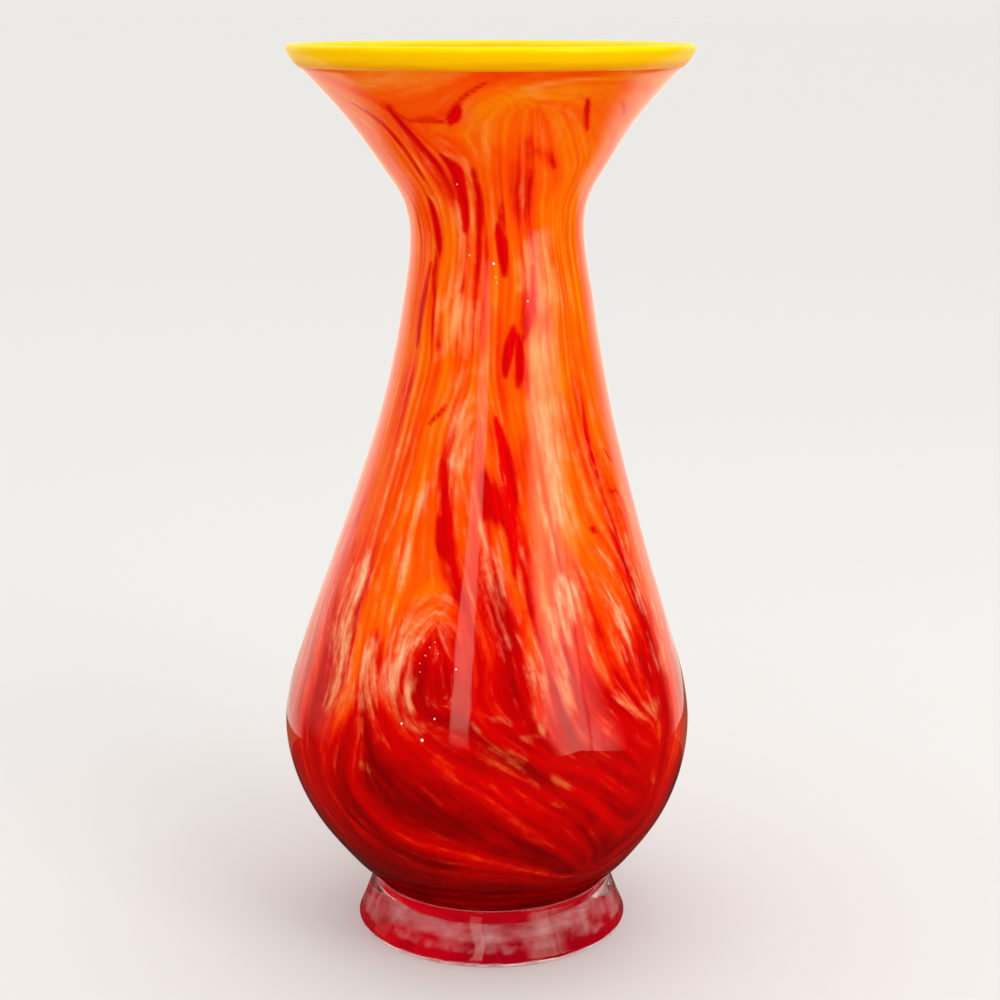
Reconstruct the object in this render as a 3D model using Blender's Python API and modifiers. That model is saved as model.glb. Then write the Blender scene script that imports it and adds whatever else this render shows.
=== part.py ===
"""Hand-blown art glass vase, built from the separate pieces of glass it is gathered and joined from.

The body is three nested bubbles: a clear inner gather, a marbled colour layer and a clear outer casing.
A bead of yellow glass is wrapped on their edge as the lip, and a clear foot is pressed onto the bottom.
Frame: metres, +Z up, origin on the table at the centre of the foot, the best side facing -Y.
Run with: blender --background --python part.py
"""

import math

import bpy
import numpy as np

# ---------------------------------------------------------------- driving dimensions, metres
# Heights, stacked from the table to the rim
FOOT_UNDER_BODY = 0.005  # clear glass between the table and the bottom of the body
BELLY_DEPTH = 0.082  # bottom of the body up to its widest ring
TAPER_LENGTH = 0.198  # widest ring up to the narrowest ring, the neck
FLARE_LENGTH = 0.063  # neck up to the end of the body glass, where the lip begins

# Radii of the body's outside
BELLY_RADIUS = 0.082
NECK_RADIUS = 0.0339
FLARE_RADIUS = 0.0736  # at the end of the body glass

# Walls of the three bubbles, on the sides and at the bottom of the body
CASING_WALL, CASING_BASE = 0.0018, 0.0020
COLOUR_WALL, COLOUR_BASE = 0.0014, 0.0020
INNER_WALL, INNER_BASE = 0.0012, 0.0040

# Lip wrap
LIP_LENGTH = 0.0081  # how far the bead reaches past the body glass, along the flare
LIP_OVERHANG = 0.0003  # how far the bead swells past each face of the wall
LIP_SQUARENESS = 2.3  # exponent of its rounded section: 2 is an ellipse

# Foot
FOOT_RADIUS = 0.0552
FOOT_HEIGHT = 0.0215  # top of the cup that takes the body
FOOT_SHOULDER = 0.0008  # rounding of its upper edge
FOOT_EDGE = 0.0028  # rounding of its lower edge
FOOT_SWELL = 1.15  # 1 makes its side a straight cone, more than 1 holds the spread back at the top
REST_WIDTH = 0.0130  # flat ring that stands on the table
HOLLOW_DEPTH = 0.0012  # how far the underside is dished above that ring
PONTIL_RADIUS = 0.0140  # polished dimple where the pontil rod was broken off
PONTIL_DEPTH = 0.0010

# Fits and hand-made drift
FUSED_GAP = 0.0003  # clearance that stands for a fused seam
BELLY_LEAN = -0.0018  # sideways drift of the centreline at the belly
NECK_LEAN = 0.0028  # and at the neck

# Outline of the bowl: (share of the belly's radius, share of the way up from the bottom to the belly)
BOWL_SHAPE = (
    (0.20, 0.003),
    (0.37, 0.024),
    (0.49, 0.085),
    (0.60, 0.222),
    (0.72, 0.343),
    (0.875, 0.555),
    (0.967, 0.772),
)
# Outline between the named rings above it: (share of the way up, share of the way in or out)
TAPER_SHAPE = ((0.085, 0.045), (0.17, 0.150), (0.42, 0.485), (0.66, 0.770), (0.86, 0.928))
FLARE_SHAPE = ((0.19, 0.045), (0.43, 0.270), (0.67, 0.530), (0.88, 0.820))

# Mesh fineness
STEPS_ROUND = 36
STEPS_PER_SPAN = 2
LIP_STEPS = 10
SIDE_STEPS = 5
EDGE_STEPS = 3

# ---------------------------------------------------------------- heights worked out from them
BODY_BOTTOM = FOOT_UNDER_BODY
BELLY_HEIGHT = BODY_BOTTOM + BELLY_DEPTH
NECK_HEIGHT = BELLY_HEIGHT + TAPER_LENGTH
FLARE_HEIGHT = NECK_HEIGHT + FLARE_LENGTH
WALL = CASING_WALL + COLOUR_WALL + INNER_WALL + 2 * FUSED_GAP


# ---------------------------------------------------------------- outline of the body
def hermite(heights, radii, steps):
    """Cubic curve through the stations, radius as a function of height, upright at the belly and the neck."""
    slope = np.gradient(radii, heights)
    slope[heights <= BELLY_HEIGHT] = 0.0
    slope[np.argmin(radii)] = 0.0
    t = np.linspace(0.0, 1.0, steps, endpoint=False)[None, :]
    span = np.diff(heights)[:, None]
    start, end = radii[:-1, None], radii[1:, None]
    leave, arrive = slope[:-1, None] * span, slope[1:, None] * span
    curve = (
        start * (2 * t**3 - 3 * t**2 + 1)
        + leave * (t**3 - 2 * t**2 + t)
        + end * (3 * t**2 - 2 * t**3)
        + arrive * (t**3 - t**2)
    )
    height = heights[:-1, None] + t * span
    return np.append(curve.ravel(), radii[-1]), np.append(height.ravel(), heights[-1])


def bowl_outline(steps):
    """(radius, height) from the bottom pole up to the belly: a Catmull-Rom curve through the stations."""
    out, up = np.array(((0.0, 0.0),) + BOWL_SHAPE + ((1.0, 1.0),)).T
    points = np.column_stack([BELLY_RADIUS * out, BODY_BOTTOM + BELLY_DEPTH * up])
    before = points[1] * (-1, 1)
    after = points[-2] * (1, -1) + (0, 2 * points[-1, 1])
    chain = np.concatenate([[before], points, [after]])
    t = np.linspace(0.0, 1.0, steps, endpoint=False)[:, None]
    spans = [
        b
        + 0.5 * (c - a) * t
        + (a - 2.5 * b + 2 * c - 0.5 * d) * t**2
        + (1.5 * b - 0.5 * a - 1.5 * c + 0.5 * d) * t**3
        for a, b, c, d in zip(chain, chain[1:], chain[2:], chain[3:])
    ]
    bowl = np.concatenate(spans)
    bowl[0, 0] = 0.0
    return bowl[:, 0], bowl[:, 1]


def body_outline():
    """Outside of the body as (radius, height) from the bottom pole to the flare, and the bottom's share.

    The bowl is one curve through its stations, and the taper and flare are another.
    """
    bowl_r, bowl_z = bowl_outline(STEPS_PER_SPAN)
    up, inward = np.array(TAPER_SHAPE).T
    rise, outward = np.array(FLARE_SHAPE).T
    heights = np.concatenate(
        [
            [BELLY_HEIGHT],
            BELLY_HEIGHT + TAPER_LENGTH * up,
            [NECK_HEIGHT],
            NECK_HEIGHT + FLARE_LENGTH * rise,
            [FLARE_HEIGHT],
        ]
    )
    radii = np.concatenate(
        [
            [BELLY_RADIUS],
            BELLY_RADIUS - (BELLY_RADIUS - NECK_RADIUS) * inward,
            [NECK_RADIUS],
            NECK_RADIUS + (FLARE_RADIUS - NECK_RADIUS) * outward,
            [FLARE_RADIUS],
        ]
    )
    upper_r, upper_z = hermite(heights, radii, STEPS_PER_SPAN)
    outline = np.column_stack(
        [np.concatenate([bowl_r, upper_r]), np.concatenate([bowl_z, upper_z])]
    )
    bottom_share = np.clip(1 - (outline[:, 1] - BODY_BOTTOM) / FOOT_HEIGHT, 0.0, 1.0) ** 2
    return outline, bottom_share


def outward_normals(outline):
    """Unit normals of an outline that runs upwards: the tangent turned a quarter turn towards +radius."""
    tangent = np.gradient(outline, axis=0)
    tangent[0] = (1.0, 0.0)
    tangent /= np.linalg.norm(tangent, axis=1)[:, None]
    return np.column_stack([tangent[:, 1], -tangent[:, 0]])


OUTLINE, BOTTOM_SHARE = body_outline()
NORMALS = outward_normals(OUTLINE)


def at_depth(depth):
    """The outline moved into the wall by a depth, which may differ from station to station."""
    inside = OUTLINE - NORMALS * np.reshape(depth, (-1, 1))
    inside[0, 0] = 0.0
    return inside


def wall_at_stations(side, base):
    return side + (base - side) * BOTTOM_SHARE


# ---------------------------------------------------------------- turning and leaning
def lean(height):
    """Sideways drift of the centreline: none on the foot and at the rim, most at the belly and the neck."""
    stations = (0.0, FOOT_HEIGHT, BELLY_HEIGHT, NECK_HEIGHT - TAPER_LENGTH / 8, FLARE_HEIGHT)
    drifts = (0.0, 0.0, BELLY_LEAN, NECK_LEAN, 0.0)
    span = np.clip(np.searchsorted(stations, height, side="right") - 1, 0, len(stations) - 2)
    low, high = np.take(stations, span), np.take(stations, span + 1)
    t = np.clip((height - low) / (high - low), 0.0, 1.0)
    ease = t * t * (3 - 2 * t)
    return np.take(drifts, span) * (1 - ease) + np.take(drifts, span + 1) * ease


def turned(name, section, material, collection, closed=False):
    """Turns a section, whose outer side is listed downwards, about Z, then lets it lean."""
    mesh = bpy.data.meshes.new(name + "_section")
    points = [(float(r), 0.0, float(z)) for r, z in section]
    edges = [(i, i + 1) for i in range(len(points) - 1)]
    if closed:
        edges.append((len(points) - 1, 0))
    mesh.from_pydata(points, edges, [])
    guide = bpy.data.objects.new(name + "_section", mesh)
    collection.objects.link(guide)
    screw = guide.modifiers.new("turn", "SCREW")
    screw.axis = "Z"
    screw.angle = 2 * math.pi
    screw.steps = screw.render_steps = STEPS_ROUND
    screw.use_merge_vertices = True
    screw.merge_threshold = 0.00002
    bpy.context.view_layer.update()
    evaluated = guide.evaluated_get(bpy.context.evaluated_depsgraph_get())
    solid = bpy.data.meshes.new_from_object(evaluated)
    bpy.data.objects.remove(guide)
    solid.name = name

    places = np.empty(len(solid.vertices) * 3, np.float32)
    solid.vertices.foreach_get("co", places)
    places = places.reshape(-1, 3)
    places[:, 0] += lean(places[:, 2])
    solid.vertices.foreach_set("co", places.ravel())
    solid.shade_smooth()
    solid.set_sharp_from_angle(angle=math.radians(35))
    solid.materials.clear()
    solid.materials.append(material)

    piece = bpy.data.objects.new(name, solid)
    collection.objects.link(piece)
    return piece


def glass(name, colour, alpha=1.0, transmission=0.0, roughness=0.05):
    material = bpy.data.materials.new(name)
    material.use_nodes = True
    shader = material.node_tree.nodes["Principled BSDF"]
    shader.inputs["Base Color"].default_value = (*colour, 1.0)
    shader.inputs["Roughness"].default_value = roughness
    shader.inputs["Metallic"].default_value = 0.0
    shader.inputs["IOR"].default_value = 1.5
    shader.inputs["Transmission Weight"].default_value = transmission
    shader.inputs["Alpha"].default_value = alpha
    return material


# ---------------------------------------------------------------- the pieces
def bubble(name, outer_depth, inner_depth, material, collection):
    """A closed-bottomed bubble of glass between two depths of the wall, open at the flare."""
    outer, inner = at_depth(outer_depth), at_depth(inner_depth)
    return turned(name, np.concatenate([inner, outer[::-1]]), material, collection)


def lip_wrap(material, collection):
    """A bead whose flat side sits on the edges of the bubbles: half a superellipse across the wall."""
    tangent = np.array([-NORMALS[-1, 1], NORMALS[-1, 0]])
    seat = OUTLINE[-1] - NORMALS[-1] * WALL / 2 + tangent * FUSED_GAP
    angle = np.linspace(0.0, math.pi, LIP_STEPS + 1)
    power = 2 / LIP_SQUARENESS
    across = np.sign(np.cos(angle)) * np.abs(np.cos(angle)) ** power
    along = np.abs(np.sin(angle)) ** power
    half_width = WALL / 2 + LIP_OVERHANG
    bead = seat + np.outer(across * half_width, NORMALS[-1]) + np.outer(along * LIP_LENGTH, tangent)
    return turned("lip_wrap", bead[::-1], material, collection, closed=True)


def foot(material, collection):
    """A flared clear foot: its cup takes the body's bottom, and its dished underside has a pontil dimple.

    Its side spreads with the power FOOT_SWELL of the way down.
    """
    under = OUTLINE + NORMALS * FUSED_GAP
    under[0, 0] = 0.0
    cup = under[under[:, 1] < FOOT_HEIGHT - FOOT_SHOULDER / 2]
    cup_edge = np.interp(FOOT_HEIGHT, under[:, 1], under[:, 0]) + FUSED_GAP / 2

    turn = np.linspace(0.0, math.pi / 2, EDGE_STEPS + 1)
    shoulder = np.column_stack(
        [
            cup_edge + FOOT_SHOULDER * np.sin(turn),
            FOOT_HEIGHT - FOOT_SHOULDER * (1 - np.cos(turn)),
        ]
    )
    down = np.linspace(0.0, 1.0, SIDE_STEPS + 1)[1:-1]
    side = shoulder[-1] + np.column_stack(
        [
            (FOOT_RADIUS - shoulder[-1, 0]) * down**FOOT_SWELL,
            (FOOT_EDGE - shoulder[-1, 1]) * down,
        ]
    )
    edge = np.column_stack(
        [
            FOOT_RADIUS - FOOT_EDGE * (1 - np.cos(turn)),
            FOOT_EDGE * (1 - np.sin(turn)),
        ]
    )
    rest_inner = FOOT_RADIUS - FOOT_EDGE - REST_WIDTH
    dish = np.array(
        [
            [rest_inner, 0.0],
            [(rest_inner + PONTIL_RADIUS) / 2, HOLLOW_DEPTH * 0.75],
            [PONTIL_RADIUS, HOLLOW_DEPTH],
            [PONTIL_RADIUS * 0.9, HOLLOW_DEPTH + PONTIL_DEPTH * 0.6],
            [0.0, HOLLOW_DEPTH + PONTIL_DEPTH],
        ]
    )
    section = np.concatenate([cup, shoulder, side, edge, dish])
    return turned("foot", section, material, collection)


def main():
    for old in list(bpy.data.objects):
        bpy.data.objects.remove(old)
    vase = bpy.data.collections.new("art_glass_vase")
    bpy.context.scene.collection.children.link(vase)

    clear = glass("clear_glass", (0.95, 0.97, 0.96), alpha=0.35, transmission=1.0, roughness=0.0)
    marbled = glass("marbled_glass", (0.85, 0.13, 0.02))
    yellow = glass("yellow_glass", (0.95, 0.60, 0.02))

    casing_inner = wall_at_stations(CASING_WALL, CASING_BASE)
    colour_outer = casing_inner + FUSED_GAP
    colour_inner = colour_outer + wall_at_stations(COLOUR_WALL, COLOUR_BASE)
    gather_outer = colour_inner + FUSED_GAP
    gather_inner = gather_outer + wall_at_stations(INNER_WALL, INNER_BASE)

    bubble("outer_casing", 0.0 * casing_inner, casing_inner, clear, vase)
    bubble("colour_layer", colour_outer, colour_inner, marbled, vase)
    bubble("inner_gather", gather_outer, gather_inner, clear, vase)
    lip_wrap(yellow, vase)
    foot(clear, vase)


main()
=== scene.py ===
# %% [markdown]
# # A hand-blown art glass vase
# A glassblower makes this vase from five separate gathers. A clear bubble is rolled in chips of coloured
# glass, which melt and are drawn into marbling. That is dipped in more clear glass, blown and stretched.
# A thread of yellow glass is wrapped on the rim, and a clear foot is pressed onto the bottom.
# We load the working model first, because every piece of the look takes its place from it.

# %% Frame
import math
import bpy
import numpy as np
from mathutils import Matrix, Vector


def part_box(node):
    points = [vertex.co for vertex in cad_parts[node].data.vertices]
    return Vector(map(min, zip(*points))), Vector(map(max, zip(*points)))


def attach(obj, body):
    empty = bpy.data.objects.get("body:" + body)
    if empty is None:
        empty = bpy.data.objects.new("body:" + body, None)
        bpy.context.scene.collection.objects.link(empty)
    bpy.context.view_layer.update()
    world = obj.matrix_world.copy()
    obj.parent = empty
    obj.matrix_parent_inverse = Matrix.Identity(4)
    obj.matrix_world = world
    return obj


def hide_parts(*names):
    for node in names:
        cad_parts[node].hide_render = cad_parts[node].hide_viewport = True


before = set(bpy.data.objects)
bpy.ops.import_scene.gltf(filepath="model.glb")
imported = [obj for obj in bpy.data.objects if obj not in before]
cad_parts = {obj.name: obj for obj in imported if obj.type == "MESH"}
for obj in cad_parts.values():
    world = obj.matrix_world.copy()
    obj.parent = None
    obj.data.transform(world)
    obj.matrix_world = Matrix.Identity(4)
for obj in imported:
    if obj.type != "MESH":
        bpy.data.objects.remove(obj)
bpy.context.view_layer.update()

# %% [markdown]
# ## The camera
# The vase is seen from a little above the level of its rim, so the rim is almost a line and the foot is a
# full ellipse. The camera stands less than a metre away, which gives the belly its slight swelling.

# %% Camera
CAMERA_DISTANCE = 0.8143
CAMERA_HEIGHT = 0.3698
CAMERA_ASIDE = 0.0035
CAMERA_PITCH = 13.3  # degrees below level
LENS = 75.24  # millimetres, as is the sensor's width
SENSOR_WIDTH = 36.0

lens = bpy.data.cameras.new("camera")
lens.lens = LENS
lens.sensor_width = SENSOR_WIDTH
camera = bpy.data.objects.new("camera", lens)
camera.location = (CAMERA_ASIDE, -CAMERA_DISTANCE, CAMERA_HEIGHT)
camera.rotation_euler = (math.radians(90 - CAMERA_PITCH), 0, 0)
bpy.context.scene.collection.objects.link(camera)
bpy.context.scene.camera = camera
print("camera at", tuple(camera.location))

# %% [markdown]
# ## The outline of the body
# Everything on this vase follows one outline, so it is worked out once. The bowl is a Catmull-Rom curve
# through a few places, which lets its bottom turn flat. Above the widest ring, a cubic curve gives the
# radius for each height, down to the neck and out again to the flare. The main sizes are read from the
# working model.

# %% Outline
casing_low, casing_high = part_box("outer_casing")
foot_low, foot_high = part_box("foot")

BELLY_RADIUS = (casing_high.y - casing_low.y) / 2
BELLY_DEPTH = 0.082
BELLY_HEIGHT = casing_low.z + BELLY_DEPTH
NECK_RADIUS = 0.0339
NECK_HEIGHT = 0.285
FLARE_RADIUS = 0.0736
FLARE_HEIGHT = 0.348
# shares of the way out and up, from the bottom pole to the belly
BOWL_SHAPE = (
    (0.20, 0.003), (0.37, 0.024), (0.49, 0.085), (0.60, 0.222), (0.72, 0.343), (0.875, 0.555),
    (0.967, 0.772),
)
# shares of the way up and of the change in radius, from the belly to the neck and on to the flare
TAPER_SHAPE = ((0.085, 0.045), (0.17, 0.150), (0.42, 0.485), (0.66, 0.770), (0.86, 0.928))
FLARE_SHAPE = ((0.19, 0.045), (0.43, 0.270), (0.67, 0.530), (0.88, 0.820))
BOWL_STEPS = 100  # from each of the bowl's places to the next
UPPER_STEPS = 2400  # of the upper curve, before it is shared out evenly


def through(points, before, after, steps):
    """Catmull-Rom curve through the points: each one's slope runs from its neighbour to its neighbour."""
    chain = np.concatenate([[before], points, [after]])
    t = np.linspace(0, 1, steps, endpoint=False)[:, None]
    spans = [
        b
        + 0.5 * (c - a) * t
        + (a - 2.5 * b + 2 * c - 0.5 * d) * t**2
        + (1.5 * b - 0.5 * a - 1.5 * c + 0.5 * d) * t**3
        for a, b, c, d in zip(chain, chain[1:], chain[2:], chain[3:])
    ]
    return np.concatenate(spans + [points[-1:]])


def smooth_curve(knots, values, at):
    """Cubic Hermite curve: a knot's slope is the mean slope around it, and zero where the outline turns."""
    slope = np.gradient(values, knots)
    slope[0] = 0.0
    slope[np.argmin(values)] = 0.0
    span = np.clip(np.searchsorted(knots, at, side="right") - 1, 0, len(knots) - 2)
    width = knots[span + 1] - knots[span]
    t = (at - knots[span]) / width
    return (
        values[span] * (2 * t**3 - 3 * t**2 + 1)
        + slope[span] * width * (t**3 - 2 * t**2 + t)
        + values[span + 1] * (3 * t**2 - 2 * t**3)
        + slope[span + 1] * width * (t**3 - t**2)
    )


def body_outline():
    """(radius, height) from the bottom pole to the end of the flare: the bowl's curve, then the rest."""
    out, deep = np.array(((0.0, 0.0),) + BOWL_SHAPE + ((1.0, 1.0),)).T
    places = np.column_stack([BELLY_RADIUS * out, BELLY_HEIGHT - BELLY_DEPTH * (1 - deep)])
    mirrored = places[1] * (-1, 1)
    beyond = places[-2] * (1, -1) + (0, 2 * places[-1, 1])
    bowl = through(places, mirrored, beyond, BOWL_STEPS)[:-1]
    up, inward = np.array(TAPER_SHAPE).T
    rise, outward = np.array(FLARE_SHAPE).T
    taper, flare = NECK_HEIGHT - BELLY_HEIGHT, FLARE_HEIGHT - NECK_HEIGHT
    taper_radii = BELLY_RADIUS - (BELLY_RADIUS - NECK_RADIUS) * inward
    flare_radii = NECK_RADIUS + (FLARE_RADIUS - NECK_RADIUS) * outward
    knots = np.r_[
        BELLY_HEIGHT, BELLY_HEIGHT + taper * up, NECK_HEIGHT, NECK_HEIGHT + flare * rise, FLARE_HEIGHT
    ]
    values = np.r_[BELLY_RADIUS, taper_radii, NECK_RADIUS, flare_radii, FLARE_RADIUS]
    height = np.linspace(BELLY_HEIGHT, FLARE_HEIGHT, UPPER_STEPS)
    return np.concatenate([bowl, np.column_stack([smooth_curve(knots, values, height), height])])


def distance_along(curve):
    """Distance from the curve's first point to each of its points, measured along it."""
    return np.append(0.0, np.cumsum(np.linalg.norm(np.diff(curve, axis=0), axis=1)))


def evenly(curve, count):
    """The same curve with its points an equal distance apart."""
    along = distance_along(curve)
    at = np.linspace(0.0, along[-1], count)
    return np.column_stack([np.interp(at, along, curve[:, 0]), np.interp(at, along, curve[:, 1])])


def facing(curve):
    """Unit normals of an outline that runs upwards: its tangent turned a quarter turn outwards."""
    tangent = np.gradient(curve, axis=0)
    tangent[0] = (1.0, 0.0)
    tangent /= np.linalg.norm(tangent, axis=1)[:, None]
    return np.column_stack([tangent[:, 1], -tangent[:, 0]])


OUTLINE = body_outline()
OUTLINE_ALONG = distance_along(OUTLINE)


def at_depth(count, depth):
    """The outline with count points, moved into the wall by a depth along its normals."""
    curve = evenly(OUTLINE, count)
    inside = curve - facing(curve) * depth
    inside[0, 0] = 0.0
    return inside


print("outline from", OUTLINE[0], "to", OUTLINE[-1], "length", OUTLINE_ALONG[-1])

# %% [markdown]
# ## Turning a section into a solid
# A blown form is nearly a solid of revolution, so each piece is a section carried round the axis. The
# axis itself isn't quite straight: the hot glass sagged a little, so the belly sits to one side of the
# foot and the neck to the other. The same gentle drift is given to every piece.

# %% Turning
CAD_MIDDLE = (casing_high.x + casing_low.x) / 2
LEAN_HEIGHTS = (0.0, foot_high.z, BELLY_HEIGHT, 0.26, FLARE_HEIGHT)
LEAN = (0.0, 0.0, CAD_MIDDLE, 0.0028, 0.0)


def lean(height):
    """Sideways drift of the axis at a height, eased from one named height to the next."""
    span = np.clip(np.searchsorted(LEAN_HEIGHTS, height, side="right") - 1, 0, len(LEAN_HEIGHTS) - 2)
    low, high = np.take(LEAN_HEIGHTS, span), np.take(LEAN_HEIGHTS, span + 1)
    t = np.clip((height - low) / (high - low), 0.0, 1.0)
    ease = t * t * (3 - 2 * t)
    return np.take(LEAN, span) * (1 - ease) + np.take(LEAN, span + 1) * ease


def woven(rows, columns, ring=False):
    """Faces of rows of points round the axis: quads, then triangles that join each end to one more point.

    A ring's last row joins its first instead, so it has no triangles.
    """
    row, column = np.meshgrid(np.arange(rows - (not ring)), np.arange(columns), indexing="ij")
    here, under, aside = row * columns, (row + 1) % rows * columns, (column + 1) % columns
    quads = np.stack([here + column, under + column, under + aside, here + aside], axis=-1)
    around, aside, end = column[0], aside[0], (rows - 1) * columns
    first = np.full(columns, rows * columns)
    top = np.column_stack([first, around, aside])
    bottom = np.column_stack([end + around, first + 1, end + aside])
    return quads.reshape(-1, 4), np.concatenate([top, bottom])[: 0 if ring else None]


def new_piece(name, places, faces):
    """An object at the origin with these points and faces, shaded smoothly."""
    mesh = bpy.data.meshes.new(name)
    mesh.from_pydata(places.tolist(), [], faces)
    mesh.shade_smooth()
    piece = bpy.data.objects.new(name, mesh)
    bpy.context.scene.collection.objects.link(piece)
    print(f"{name}: {len(mesh.vertices)} vertices, {len(mesh.polygons)} faces")
    return piece


def turned(name, section, columns, ring=False):
    """Carries a section round the upright axis, angle 0 at the front and growing to the right.

    x = r sin(angle) + lean(z), y = -r cos(angle). The section's outer side is listed downwards. A section
    that ends on the axis gets a single point at each pole, and a ring's last row joins its first.
    """
    rows = section if ring else section[1:-1]
    angle = np.linspace(-math.pi, math.pi, columns, endpoint=False)
    radius, height = rows[:, :1], np.repeat(rows[:, 1:], columns, axis=1)
    places = np.stack([radius * np.sin(angle) + lean(height), -radius * np.cos(angle), height], axis=-1)
    places = places.reshape(-1, 3)
    if not ring:
        poles = [[float(lean(z)), 0.0, z] for z in (section[0, 1], section[-1, 1])]
        places = np.concatenate([places, poles])
    quads, triangles = woven(len(rows), columns, ring)
    return new_piece(name, places, quads.tolist() + triangles.tolist())


# %% [markdown]
# ## Shader maths as plain expressions
# A finish is mostly arithmetic on patterns. This small class wraps a socket, so that an expression such as
# 1 - mask * 0.5 adds the Math nodes for us, and any other node comes from one method.

# %% Shader helper
class Value:
    """A socket that takes part in sums: each operator adds a Math node and returns its output."""

    def __init__(self, socket):
        self.socket = socket
        self.tree = socket.id_data

    def node(self, kind, settings=None, output=0, values=(), **inputs):
        return add_node(self.tree, kind, settings, output, values, **inputs)

    def sum_of(self, operation, *values):
        return self.node("ShaderNodeMath", {"operation": operation}, 0, values)

    def vector(self, operation, *values):
        return self.node("ShaderNodeVectorMath", {"operation": operation}, 0, values)

    def noise(self, scale, detail):
        return self.node("ShaderNodeTexNoise", Vector=self, Scale=scale, Detail=detail)

    def part(self, index):
        """One of a vector's three numbers."""
        return self.node("ShaderNodeSeparateXYZ", None, index, Vector=self)

    def __add__(self, other):
        return self.sum_of("ADD", self, other)

    def __radd__(self, other):
        return self.sum_of("ADD", other, self)

    def __sub__(self, other):
        return self.sum_of("SUBTRACT", self, other)

    def __rsub__(self, other):
        return self.sum_of("SUBTRACT", other, self)

    def __mul__(self, other):
        return self.sum_of("MULTIPLY", self, other)

    def __rmul__(self, other):
        return self.sum_of("MULTIPLY", other, self)

    def __truediv__(self, other):
        return self.sum_of("DIVIDE", self, other)

    def __pow__(self, other):
        return self.sum_of("POWER", self, other)

    def __abs__(self):
        return self.sum_of("ABSOLUTE", self)

    def largest(self, other):
        return self.sum_of("MAXIMUM", self, other)

    def angle_from(self, other):
        """Degrees of the direction whose sine goes as this value and whose cosine goes as the other."""
        return self.sum_of("ARCTAN2", self, other) * math.degrees(1.0)

    def between(self, low, high):
        """0 below low, 1 above high, and a smooth step from one to the other."""
        settings = {"interpolation_type": "SMOOTHSTEP"}
        return self.node(
            "ShaderNodeMapRange", settings, **{"Value": self, "From Min": low, "From Max": high}
        )


def connect(tree, value, socket):
    if isinstance(value, Value):
        tree.links.new(value.socket, socket)
    else:
        socket.default_value = value


def add_node(tree, kind, settings=None, output=0, values=(), **inputs):
    """Adds a node: its settings first, then its sockets, in their order or by name."""
    node = tree.nodes.new(kind)
    for name, setting in (settings or {}).items():
        if name == "stops":
            ramp = node.color_ramp
            while len(ramp.elements) < len(setting):
                ramp.elements.new(0.5)
            for element, (place, colour) in zip(ramp.elements, setting):
                element.position = place
                element.color = (*colour, 1.0)
        else:
            setattr(node, name, setting)
    for socket, value in zip(node.inputs, values):
        connect(tree, value, socket)
    for name, value in inputs.items():
        connect(tree, value, next(s for s in node.inputs if s.name == name and s.enabled))
    enabled = [s for s in node.outputs if s.enabled]
    return Value(enabled[output])


def painted(tree, under, over, mask):
    """Lays one colour over another where the mask is 1."""
    under, over = (c if isinstance(c, Value) else (*c, 1.0) for c in (under, over))
    return add_node(tree, "ShaderNodeMix", {"data_type": "RGBA"}, Factor=mask, A=under, B=over)


def new_material(name, constants):
    """A material, its nodes and its shader, with these constants on the shader's sockets."""
    material = bpy.data.materials.new(name)
    material.use_nodes = True
    shader = material.node_tree.nodes["Principled BSDF"]
    for socket, value in constants.items():
        shader.inputs[socket].default_value = value
    return material, material.node_tree, shader


def object_place(tree):
    return add_node(tree, "ShaderNodeTexCoord", None, 3)


DIRECT, SHADOW, SCATTERED, MIRRORED = 0, 1, 2, 3  # the Light Path node's outputs


def is_ray(tree, kind):
    """1 for a ray of this kind, 0 for any other."""
    return add_node(tree, "ShaderNodeLightPath", None, kind)


print("shader helper ready")

# %% [markdown]
# ## How the marbling is drawn
# The colour starts as chips of glass rolled onto a hot bubble: red at the bottom, orange above. As the
# bubble is blown, stretched and combed, the chips melt and are drawn out into streaks. So the pattern is
# painted here as strokes: smooth lines through a few places on the wall, each with its half width. Soft
# strokes shift the base colour towards red or amber, paler ones thin it out, and a few hard ones are chips
# that didn't melt away. A place is given in degrees round from the front and millimetres of height.

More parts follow.
